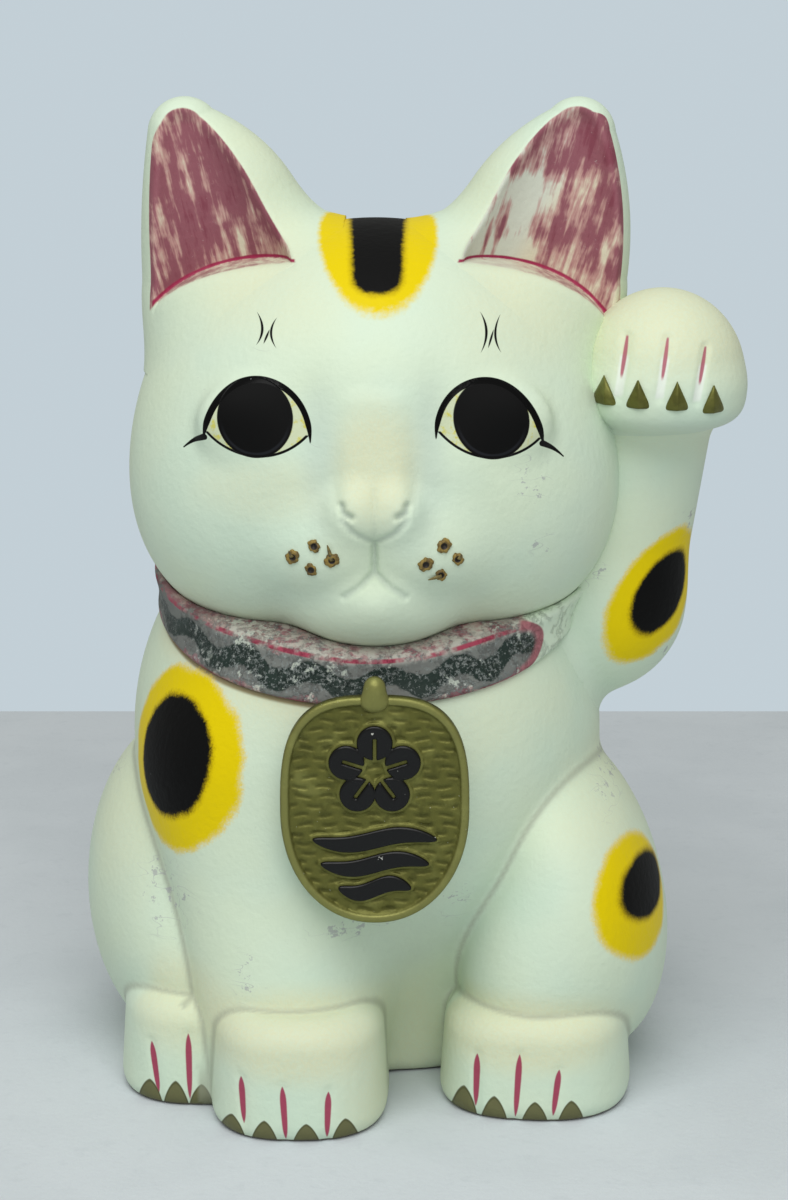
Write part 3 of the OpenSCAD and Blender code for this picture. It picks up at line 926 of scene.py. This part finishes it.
def scuffs(p, places):
    """Small grey chips, thick within the given ovals and rare elsewhere."""
    where = p.oval(*places[0], soft=0.5)
    for place in places[1:]:
        where = high(where, p.oval(*place, soft=0.5))
    fine = p.noise(3.4, 6.0, 0.72, stretch=(1.3, 1.3, 1), shift=5.0)
    p.layer(GREY, p.step(fine - (1 - where) * 0.16, 0.57, 0.60) * 0.7, rough=0.8)
    hair = abs(p.noise(9, 2.0, 0.5, stretch=(2.5, 2.5, 0.7), shift=9.0) - 0.5)
    p.layer(GREY, p.step(hair, 0.006, 0.002) * where * 0.5)


def sprayed_spot(p, mid, yellow, black, black_mid, lean=0.0, soft=1.6):
    """A yellow airbrushed disc with a black one on it; radii along x, y, z."""
    fine, broad = p.noise(0.8, 3.0, 0.8, shift=2.0), p.noise(9, 2.0, shift=4.0)
    speckle = (fine - 0.5) * 0.16 + (broad - 0.5) * 0.16

    def disc(middle, half):
        x, y, z = p.x - middle[0], p.y - middle[1], p.z - middle[2]
        return hypot((x - lean * z) / half[0], y / half[1], z / half[2]) + speckle

    edge = disc(mid, yellow)
    p.layer((0.80, 0.60, 0.16), p.step(edge, 1 + 1.3 * soft / yellow[2], 1) * 0.6)
    p.layer(YELLOW, p.step(edge, 1 + soft / yellow[2], 1 - soft / yellow[2]))
    dark = disc(black_mid, black)
    p.layer((0.30, 0.19, 0.0), p.step(dark, 1 + 2.2 / black[2], 1) * 0.6)
    p.layer(BLACK, p.step(dark, 1 + 1.0 / black[2], 1 - 1.0 / black[2]), rough=0.6)


def relief(p, size=2.2):
    return p.noise(size, 3.0, 0.5, shift=7.0) + p.noise(14, 2.0, shift=1.0) * 1.5


# ---------------------------------------------------------------- the head's paint
EYE_X = 36.4


def eyes(p):
    right = p.math("GREATER_THAN", p.x, 0.0)
    x = abs(p.x + 0.4)
    z = p.z + right * (0.4 + (x - EYE_X) * 0.1)
    front = p.step(p.y, -38, -42)
    dx, dz = x - 36.1, z - 223.0
    turn = p.math("ARCTAN2", dx, dz)
    lid_r = 14.95 - 0.6 * p.math("SINE", turn * 1.6) + 1.9 * (turn / 1.75) ** 4
    from_lid = hypot(dx, dz) - lid_r
    low_gap = hypot(x - 35.9, z - 236.4) - 21.5
    inside = p.step(high(from_lid, low_gap), 0.2, -0.2) * front
    p.layer((0.62, 0.68, 0.46), inside, rough=0.3)
    tint = p.step(p.noise(3.2, 3.0, 0.6, shift=6.0), 0.52, 0.66)
    p.layer((0.62, 0.56, 0.04), inside * tint * 0.8)
    pupil = hypot(x - EYE_X, (z - 226.4) * 0.975)
    p.layer(BLACK, p.step(pupil, 11.95, 11.65) * front, rough=0.6)
    # painted highlight: a faintly lighter ring near the lower edge of each pupil
    pupil_rim_highlight = p.step(abs(pupil - 10.6), 0.6, 0.2) * p.step(z, 226, 218)
    p.layer((0.012, 0.013, 0.016), pupil_rim_highlight * front)
    upper = abs(from_lid) - (1.0 + turn * 0.05) * p.step(abs(turn), 1.95, 1.4)
    p.layer(BLACK, p.step(upper, 0.1, -0.1) * p.step(abs(turn), 1.80, 1.76) * front, rough=0.2)
    under = abs(low_gap) - 0.42
    lower = p.step(under, 0.1, -0.1) * p.step(z, 222, 221.5) * p.step(from_lid, 0.4, 0.1)
    p.layer(BLACK, lower * front)
    ax, az = x - 52.4, z - 219.8
    t = low(high((ax * 6.8 - az * 4.6) / 67.4, 0.0), 1.0)
    flick = hypot(ax - 6.8 * t, az + 4.6 * t - 1.6 * t * (1 - t)) - (1.05 - 0.85 * t)
    p.layer(BLACK, p.step(flick, 0.1, -0.1) * front)
    return p.step(pupil, 11.95, 11.65) * front


def brows(p):
    side = p.math("SIGN", p.x)
    x = p.x - side * 34.7
    z = p.z + p.step(p.x, -1, 1) * 0.8
    front = p.step(p.y, -30, -34)
    strokes = ((252.2, 5.8, -0.1, 0.0, -1.9, 0.42), (250.2, 2.6, 1.3, 0.9, 0.0, 0.36),
               (251.4, 5.4, 2.7, 0.0, 1.8, 0.38))
    for mid, half, at, leaning, bow, wide in strokes:
        t = (z - mid) / half * (1.12 - 0.12 * side)
        line = abs(x - (at + leaning * t + bow * t * t)) - wide * (1 - t * t)
        p.layer(BLACK, p.step(line, 0.12, -0.12) * p.step(abs(t), 1.0, 0.96) * front)


def crown_patch(p):
    edge = (p.noise(2.2, 4.0, 0.7) - 0.5) * 0.13
    q = ((abs(p.x - 1) / 18.6) ** 2.2 + (abs(p.y + 22) / 38.4) ** 2.2) ** (1 / 2.2) + edge
    up = p.step(p.z, 240, 244)
    p.layer(YELLOW, p.step(q, 1.07, 0.95) * up)
    half = 7.6 + 0.03 * (p.y + 47)
    across = high(abs(p.x - 0.8) - half + 6, 0.0)
    end = high(-48.5 - p.y, 0.0)
    d = hypot(across, end) - 6 + edge * 16
    p.layer((0.30, 0.19, 0.0), p.step(d, 2.2, 0) * up * p.step(p.y, 14, 9) * 0.5)
    p.layer(BLACK, p.step(d, 0.9, -0.9) * up * p.step(p.y, 14, 9), rough=0.6)


def dish_paint(p):
    """Worn, streaky mauve inside the ears, with a crimson line along the brow."""
    dish, x, z = p.mark("dish"), p.x, p.z
    outer = p.step(abs(x) - 0.3 * (z - 258), 52, 58)
    reach = (abs(x) / ARCH_HALF) ** 3 + (high(z - ARCH_BASE, 0.0) / ARCH_RISE) ** 3
    arch = ARCH_RISE * (reach ** (1 / 3) - 1)
    inside = p.step(dish - outer * 3.0, 1.0, 0.5) * p.step(p.y, 0, -3) * p.step(arch, -0.3, 0.3)
    left_ear = p.step(x, -1, 1)
    right_ear = 1 - left_ear
    strands = [p.noise(3.0, 4.0, 0.6, stretch=(1, 2, 8), shift=2.0, tilt=lean)
               for lean in (0.25, -0.3)]
    streak = strands[0] * right_ear + strands[1] * left_ear
    patchy = p.noise(13, 3.0, 0.6, shift=8.0)
    # the ear beside the raised paw is worn most along its inner edge, the other hardly at all
    inner = p.step(x - 0.62 * (z - 262), 47, 36) * left_ear
    low_corner = p.step(arch, 9, 2) * p.step(abs(x), 60, 52)
    worn = inner * 0.10 + low_corner * 0.06 + left_ear * 0.03
    crest = p.step(z, 292, 300) * left_ear * 0.12
    cover = streak * 0.62 + patchy * 0.38 - worn + crest + right_ear * 0.02
    p.layer((0.70, 0.66, 0.50), inside)
    p.layer((0.66, 0.71, 0.62), inside * inner * 0.8)
    p.layer((0.48, 0.24, 0.23), inside * p.step(cover, 0.36, 0.46) * 0.85)
    p.layer(MAUVE, inside * p.step(cover, 0.44, 0.53) * 0.9, rough=0.5)
    p.layer((0.19, 0.035, 0.06), inside * p.step(cover, 0.56, 0.66) * 0.6)
    flecks = p.step(p.noise(1.6, 5.0, 0.75, shift=5.0), 0.64, 0.70)
    p.layer((0.50, 0.42, 0.40), inside * flecks * 0.45)
    line = abs(arch - 0.6) - (0.4 + (p.noise(9, 2.0) - 0.5) * 0.5)
    near_dish = p.step(dish, 2.4, 1.6) * p.step(p.y, 2, -2)
    p.layer((0.33, 0.03, 0.08), p.step(line, 0.3, -0.2) * near_dish)


def ear_roots(p):
    airbrush(p, p.oval((-34, 262), (22, 13), 0.7) * 0.4)
    airbrush(p, p.oval((46, 258), (24, 16), 0.7) * 0.45)


def head_paint():
    p = white("head_paint")
    airbrush(p, p.oval((0.5, 214), (12, 17), 0.45) * 0.75 * p.step(p.y, -60, -64))
    airbrush(p, p.oval((-34, 204), (17, 9), 0.6) * 0.35 * p.step(p.y, -40, -50))
    # painted shade: grey-green strips at the sides of the nose bridge, by the inner corners of the
    # eyes
    for side in (-1, 1):
        p.layer(SHADE_GREY, p.oval((17 * side, 216), (5, 18), 0.8) * p.step(p.y, -50, -58) * 0.3)
    ear_roots(p)
    airbrush(p, p.step(p.z, 172, 158) * 0.3 * p.step(p.y, -20, -40))
    # painted shade in the lines of the nose and mouth
    p.layer((0.34, 0.40, 0.38), p.mark("crease") * 0.38)
    crown_patch(p)
    dish_paint(p)
    brows(p)
    pupils = eyes(p)
    scuffs(p, (((49, 206), (6, 9)), ((-55, 235), (3, 2)), ((-18, 219), (1.5, 1.5)),
               ((52, 186), (4, 4)), ((-35, 247), (2.5, 2))))
    return p.finish(relief(p) * (1 - pupils))


def ear_paint():
    p = white("ear_paint")
    airbrush(p, p.oval((-38, 285), (14, 30), 0.7) * 0.35)
    airbrush(p, p.oval((40, 280), (14, 26), 0.7) * 0.35)
    ear_roots(p)
    crown_patch(p)
    dish_paint(p)
    return p.finish(relief(p))


# ---------------------------------------------------------------- body and arm paint
NAILS_FORE = ((-45.2, 6.6), (-34.8, 6.8), (-21.6, 6.2), (-9.4, 6.8))
NAILS_RIGHT = ((-73.2, 7.5), (-64.6, 8.2), (-56.2, 7.4))
NAILS_LEFT = ((28.6, 9.0), (38.1, 7.8), (51.0, 6.8), (62.6, 7.0))


def feet_paint(p):
    front = p.step(p.y, -46, -52)
    bands = (((-24.5, 32), (26, 12), 0.75), ((-62, 34), (17, 14), 0.55),
             ((48, 28), (30, 11), 0.75))
    for mid, half, weight in bands:
        airbrush(p, p.oval(mid, half, 0.45) * weight * front)
    for (top_x, top_z), (low_x, low_z) in TOES:
        t = (p.z - low_z) / (top_z - low_z)
        wide = 1.15 * (1 - (2 * t - 1) ** 4) * (0.65 + 0.35 * t)
        line = abs(p.x - (low_x + (top_x - low_x) * t)) - wide
        between_ends = p.step(abs(t - 0.5), 0.52, 0.48)
        p.layer(CRIMSON, p.step(line, 0.25, -0.2) * between_ends * front * 0.95)
    for x, top in NAILS_FORE + NAILS_RIGHT + NAILS_LEFT:
        nail = (abs(p.x - x) / 4.1) ** 1.5 + (high(p.z, 0.0) / (top * 1.05)) ** 1.5
        p.layer((0.15, 0.15, 0.07), p.step(nail, 1.06, 0.92) * front, rough=0.5)
        p.layer((0.07, 0.07, 0.03), p.step(abs(nail - 0.92), 0.12, 0.04) * front * 0.6)
    p.layer((0.16, 0.15, 0.12), p.step(p.z + (p.noise(5) - 0.5) * 0.8, 1.0, 0.6), rough=0.8)


def body_paint():
    p = white("body_paint")
    airbrush(p, p.oval((-30, 132), (30, 9), 0.8) * 0.35 * p.step(p.y, -30, -40))
    airbrush(p, p.oval((34, 128), (30, 12), 0.8) * 0.3 * p.step(p.y, -30, -40))
    airbrush(p, p.oval((74, 96), (20, 16), 0.7) * 0.4)
    airbrush(p, p.oval((-84, 90), (14, 26), 0.7) * 0.35)
    airbrush(p, p.oval((8, 14), (16, 26), 0.6) * 0.5)
    # painted shade on the belly between the foreleg and the left haunch, below the koban
    p.layer(SHADE_GREY, p.oval((12, 52), (22, 22), 0.8) * 0.35 * p.step(p.y, -40, -50))
    lift = rim_lift(p.y, p.z)
    # painted shadow: a warm band and a dark brown line on the body just under the collar's lower
    # edge, on the side away from the raised arm
    airbrush(p, p.step(lift, -9, -1) * p.step(p.x, 10, -20) * p.step(p.y, -10, -20) * 0.5)
    under_collar_shadow = p.step(lift, -1.8, -0.8) * p.step(p.x, 0, -14) * p.step(p.y, -10, -20)
    p.layer((0.20, 0.13, 0.04), under_collar_shadow * 0.8)
    sprayed_spot(p, (-64, -50, 113), (27.5, 32, 29), (19, 19, 19.5), (-65, -50, 114))
    sprayed_spot(p, (83.5, -46, 66), (18, 30, 19), (11.5, 24, 9.5), (87.5, -42, 68.2))
    feet_paint(p)
    # painted shade in the folds where the limbs and feet meet the body
    p.layer((0.33, 0.35, 0.27), p.mark("fold") * 0.55)
    scuffs(p, (((-68, 66), (10, 13)), ((-90, 98), (5, 9)), ((-7, 62), (14, 3.5)),
               ((26, 68), (5, 9)), ((76, 102), (6, 10)), ((-40, 48), (5, 9))))
    return p.finish(relief(p))


def arm_paint():
    p = white("arm_paint")
    airbrush(p, p.step(p.z, 200, 214) * 0.3)
    airbrush(p, p.oval((84, 180), (20, 14), 0.8) * 0.2)
    sprayed_spot(p, (93, -18, 159.5), (17.5, 24, 22), (10.5, 16, 13.5), (94.2, -18, 160.5),
                 lean=0.42)
    scuffs(p, (((70, 170), (5, 6)), ((102, 184), (4, 6)), ((96, 136), (6, 6))))
    return p.finish(relief(p))


def paw_paint():
    p = white("paw_paint")
    airbrush(p, p.step(p.z, 226, 246) * 0.75)
    airbrush(p, p.step(p.z, 222, 216) * 0.3)
    for (top_x, top_z), (low_x, low_z) in PAW_LINES:
        t = (p.z - low_z) / (top_z - low_z)
        line = abs(p.x - (low_x + (top_x - low_x) * t))
        front = p.step(p.y, -24, -28)
        # painted highlight: a light line along the raised edges beside each toe groove
        ridge = p.step(line - 1.3, 0.5, -0.5) * p.step(abs(t - 0.35), 0.4, 0.3)
        p.layer((0.84, 0.88, 0.82), ridge * front * 0.7)
        red = p.step(line - 0.62 * (1 - (2 * t - 1.35) ** 2), 0.25, -0.2) * p.step(t, 0.28, 0.4)
        p.layer((0.42, 0.09, 0.14), red * front * p.step(t, 1.05, 1.0) * 0.9)
    # painted shade along the underside of the paw
    p.layer(SHADE_GREY, p.step(p.z, 224, 217) * 0.3)
    return p.finish(relief(p))


# ---------------------------------------------------------------- collar and small parts
def collar_paint():
    """Mauve with crimson edges and a wavy dark band, rubbed down to grey and cream."""
    p = Paint("collar_paint", (0.30, 0.14, 0.155), 0.6, Specular_IOR_Level=0.3)
    lift = rim_lift(p.y, p.z)
    turn = p.math("ARCTAN2", p.x, -p.y - 8)
    p.layer((0.50, 0.38, 0.34), p.step(p.noise(6, 4.0, 0.6), 0.45, 0.6) * 0.7)
    rub = p.noise(3.0, 6.0, 0.72, shift=3.0) * 0.55 + p.noise(14, 3.0, 0.6, shift=11.0) * 0.45
    wave = p.math("SINE", turn * 17 + 0.6) * 2.0
    off = abs(lift - 7.6 - wave * 0.5)
    p.layer((0.155, 0.18, 0.165), p.step(off + (rub - 0.5) * 12, 6.6, 5.6) * 0.9, rough=0.7)
    band = abs(lift - 7.4 - wave) - 3.0 + (p.noise(3.5, 5.0, 0.7) - 0.5) * 3.4
    p.layer((0.016, 0.03, 0.024), p.step(band, 0.35, -0.35), rough=0.35)
    flake = p.noise(1.3, 5.0, 0.78, shift=6.0) * 0.6 + rub * 0.4
    hidden = p.step(p.x, -56, -44)
    p.layer((0.21, 0.235, 0.225), p.step(flake, 0.515, 0.535) * (hidden * 0.5 + 0.4), rough=0.8)
    p.layer((0.42, 0.43, 0.40), p.step(flake, 0.575, 0.59) * 0.8, rough=0.8)
    p.layer((0.60, 0.66, 0.55), p.step(rub, 0.575, 0.60) * 0.6 * hidden, rough=0.7)
    pale = p.step(lift, 11.5, 14.2) * p.step(p.noise(4, 5.0, 0.7, shift=15.0), 0.42, 0.56) * hidden
    p.layer((0.52, 0.50, 0.44), pale * 0.85, rough=0.7)
    rim = p.step(lift, 1.5, 0.5) + p.step(abs(lift - 13.6), 0.75, 0.35)
    p.layer((0.36, 0.05, 0.09), low(rim, 1.0) * p.step(p.noise(8, 3.0, shift=4.0), 0.40, 0.58))
    # the paint stops in a rounded end on the side of the raised arm
    end = hypot(high(p.x - 46, 0.0) / 7.8, (lift - 7.5) / 7.4)
    front = p.step(p.y, 0, -8)
    p.layer((0.40, 0.15, 0.17), p.step(end, 0.55, 0.8) * p.step(p.x, 45, 47) * front)
    p.layer(CREAM, p.step(end, 0.98, 1.05) * p.step(p.x, 45, 47) * front)
    return p.finish(p.step(rub, 0.58, 0.48) + p.noise(2, 3.0) * 0.4, 0.35)


def gold_paint(name, shade_highlight_flecks=True):
    p = Paint(name, OLIVE, 0.45, Metallic=0.55, Specular_IOR_Level=0.3)
    p.layer((0.25, 0.25, 0.07), p.step(p.noise(9, 3.0), 0.5, 0.7) * 0.6)
    p.layer((0.07, 0.07, 0.015), p.step(p.noise(5, 4.0, 0.6, shift=3.0), 0.5, 0.35) * 0.5)
    if shade_highlight_flecks:
        # painted shade darkens the sunken field inside the rim and a painted highlight lightens the
        # raised rim; the sides of the pad behind the tablet are cream, with sparse light flecks
        out = -(p.y - KOBAN_MID[1]) - (p.z - KOBAN_MID[2]) * KOBAN_SIN
        p.layer((0.055, 0.055, 0.01), p.step(out, 3.15, 2.75) * 0.7)
        p.layer(CREAM, p.step(out, -0.6, -1.4), rough=0.45)
        p.layer((0.33, 0.33, 0.11), p.step(out, 3.5, 4.4) * 0.5)
        p.layer((0.62, 0.62, 0.5), p.step(p.noise(1.5, 3.0, 0.7, shift=8.0), 0.72, 0.75) * 0.8)
    return p.finish(p.noise(0.9, 3.0, 0.6), 0.12)


def enamel_paint():
    p = Paint("enamel_paint", BLACK, 0.3, Specular_IOR_Level=0.3)
    p.layer((0.55, 0.55, 0.5), p.step(p.noise(4, 3.0, 0.6, shift=13.0), 0.70, 0.72))
    return p.finish(p.noise(3, 2.0), 0.1)


def simple_paint(name, colour, dark, rough, size):
    p = Paint(name, colour, rough)
    p.layer(dark, p.step(p.noise(size, 4.0, 0.65), 0.45, 0.65))
    return p.finish(p.noise(size * 0.6, 4.0, 0.6), 0.15)


def glue_paint():
    p = Paint("glue_paint", (0.27, 0.18, 0.035), 0.6)
    p.layer((0.12, 0.075, 0.015), p.step(p.noise(2.0, 4.0, 0.65), 0.42, 0.6))
    # painted shade: near-black in the shallow pit of each dab, standing for the depth of the bristle
    # hole
    p.layer((0.015, 0.01, 0.006), p.step(p.mark("pit"), 0.12, 0.4))
    return p.finish(p.noise(1.2, 4.0, 0.6), 0.15)


def paints():
    return {
        "head": head_paint(), "ear": ear_paint(), "body": body_paint(), "arm": arm_paint(),
        "paw": paw_paint(), "collar": collar_paint(), "koban": gold_paint("koban_paint"),
        "enamel": enamel_paint(), "claw": gold_paint("claw_paint", False),
        "glue": glue_paint(),
        "bristle": simple_paint("bristle_paint", (0.20, 0.15, 0.04), (0.05, 0.04, 0.02), 0.5, 1.5),
        "clay": simple_paint("bare_clay_paint", (0.42, 0.40, 0.36), (0.30, 0.28, 0.25), 0.9, 12.0),
        "rubber": simple_paint("rubber_paint", (0.035, 0.035, 0.035), (0.06, 0.06, 0.058), 0.7, 8.0),
    }


# ---------------------------------------------------------------- stage, light, camera
def table_top():
    """A pale table that ends a little way behind the cat, with a rounded edge."""
    p = Paint("table_cloth", (0.62, 0.67, 0.70), 0.9)
    p.layer((0.56, 0.61, 0.64), p.step(p.noise(90, 3.0), 0.4, 0.65) * 0.6)
    p.layer((0.53, 0.58, 0.61), p.step(p.noise(6, 3.0, shift=2.0), 0.55, 0.75) * 0.3)
    half, back, thick = 3.0, 0.44, 0.03
    bm = bmesh.new()
    bmesh.ops.create_cube(bm, size=1)
    bmesh.ops.scale(bm, verts=bm.verts, vec=(2 * half, half + back, thick))
    bmesh.ops.translate(bm, verts=bm.verts, vec=(0, (back - half) / 2, -thick / 2))
    bmesh.ops.bevel(bm, geom=bm.edges[:], offset=0.002, segments=3, affect="EDGES")
    mesh = bpy.data.meshes.new("table")
    bm.to_mesh(mesh)
    bm.free()
    mesh.materials.append(p.finish(p.noise(2.5, 3.0), 0.2))
    obj = bpy.data.objects.new("table", mesh)
    bpy.context.scene.collection.objects.link(obj)


def area_light(name, at, aim, size, watts):
    data = bpy.data.lights.new(name, "AREA")
    data.shape, data.size, data.energy = "DISK", size, watts
    obj = bpy.data.objects.new(name, data)
    obj.location = at
    obj.rotation_euler = (Vector(aim) - Vector(at)).to_track_quat("-Z", "Y").to_euler()
    bpy.context.scene.collection.objects.link(obj)


def studio():
    scene = bpy.context.scene
    data = bpy.data.cameras.new("camera")
    data.lens, data.sensor_width = 100, 36
    cam = bpy.data.objects.new("camera", data)
    cam.location = (0.006, -1.08, 0.4)
    cam.rotation_euler = (math.radians(90 - 12.85), 0, 0)
    scene.collection.objects.link(cam)
    scene.camera = cam
    scene.world = bpy.data.worlds.new("world")
    scene.world.use_nodes = True
    tree = scene.world.node_tree
    light = tree.nodes["Background"]
    light.inputs["Color"].default_value = (0.96, 0.97, 0.94, 1)
    light.inputs["Strength"].default_value = 0.40
    wall = tree.nodes.new("ShaderNodeBackground")
    wall.inputs["Color"].default_value = (0.545, 0.625, 0.675, 1)
    seen = tree.nodes.new("ShaderNodeLightPath")
    mix = tree.nodes.new("ShaderNodeMixShader")
    tree.links.new(seen.outputs["Is Camera Ray"], mix.inputs[0])
    tree.links.new(light.outputs[0], mix.inputs[1])
    tree.links.new(wall.outputs[0], mix.inputs[2])
    tree.links.new(mix.outputs[0], tree.nodes["World Output"].inputs["Surface"])
    area_light("key", (-0.15, -0.9, 1.6), (0, 0, 0.15), 1.6, 21)
    area_light("front", (0.4, -1.9, 1.2), (0, 0, 0.15), 1.2, 5)
    scene.view_settings.view_transform = "Standard"


look = paints()
for add in (add_shells, add_limbs, add_base, add_small_pieces):
    add(look)
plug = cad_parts["stopper"].data
plug.materials.clear()
plug.materials.append(look["rubber"])
table_top()
studio()
